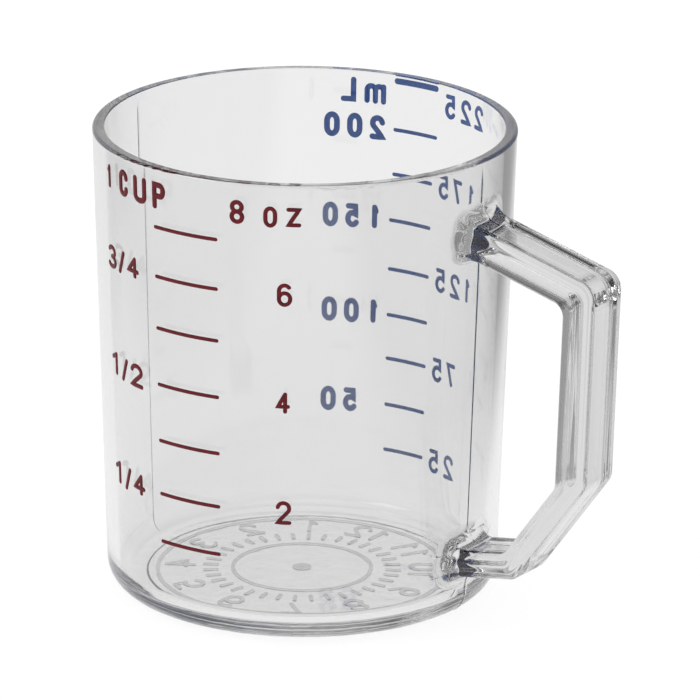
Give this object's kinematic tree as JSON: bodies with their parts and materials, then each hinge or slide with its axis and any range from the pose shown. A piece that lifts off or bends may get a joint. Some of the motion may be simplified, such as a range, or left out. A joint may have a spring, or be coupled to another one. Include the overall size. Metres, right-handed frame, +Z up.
{
  "type": "dry measuring cup",
  "caption": "Clear one-cup dry measuring cup with an angular strap handle and printed ounce, cup-fraction and millilitre scales.",
  "frame": {"origin": "centre of the flat underside, on the cup's axis, where the cup stands", "axes": "+Z up along the cup's axis, +X towards the handle, the ounce and cup scale on the -Y side, the millilitre scale on the +Y side"},
  "size_m": [0.0937, 0.0698, 0.0787],
  "materials": {
    "clear_plastic": "clear, glossy injection-moulded plastic, faintly grey",
    "red_ink": "dark red printed ink, satin",
    "blue_ink": "blue printed ink, satin"
  },
  "bodies": {
    "root": {"cup_1_2_bar": "red_ink", "cup_1_2_denominator": "red_ink", "cup_1_2_numerator": "red_ink", "cup_1_4_bar": "red_ink", "cup_1_4_denominator": "red_ink", "cup_1_4_numerator": "red_ink", "cup_3_4_bar": "red_ink", "cup_3_4_denominator": "red_ink", "cup_3_4_numerator": "red_ink", "cup_body": "clear_plastic", "cup_numeral_1": "red_ink", "handle": "clear_plastic", "metric_100_digit_1": "blue_ink", "metric_100_digit_2": "blue_ink", "metric_100_digit_3": "blue_ink", "metric_125_digit_1": "blue_ink", "metric_125_digit_2": "blue_ink", "metric_125_digit_3": "blue_ink", "metric_150_digit_1": "blue_ink", "metric_150_digit_2": "blue_ink", "metric_150_digit_3": "blue_ink", "metric_175_digit_1": "blue_ink", "metric_175_digit_2": "blue_ink", "metric_175_digit_3": "blue_ink", "metric_200_digit_1": "blue_ink", "metric_200_digit_2": "blue_ink", "metric_200_digit_3": "blue_ink", "metric_225_digit_1": "blue_ink", "metric_225_digit_2": "blue_ink", "metric_225_digit_3": "blue_ink", "metric_25_digit_1": "blue_ink", "metric_25_digit_2": "blue_ink", "metric_50_digit_1": "blue_ink", "metric_50_digit_2": "blue_ink", "metric_75_digit_1": "blue_ink", "metric_75_digit_2": "blue_ink", "metric_tick_100": "blue_ink", "metric_tick_125": "blue_ink", "metric_tick_150": "blue_ink", "metric_tick_175": "blue_ink", "metric_tick_200": "blue_ink", "metric_tick_225": "blue_ink", "metric_tick_25": "blue_ink", "metric_tick_50": "blue_ink", "metric_tick_75": "blue_ink", "ounce_numeral_2": "red_ink", "ounce_numeral_4": "red_ink", "ounce_numeral_6": "red_ink", "ounce_numeral_8": "red_ink", "ounce_tick_1": "red_ink", "ounce_tick_2": "red_ink", "ounce_tick_3": "red_ink", "ounce_tick_4": "red_ink", "ounce_tick_5": "red_ink", "ounce_tick_6": "red_ink", "ounce_tick_7": "red_ink"}
  },
  "joints": []
}
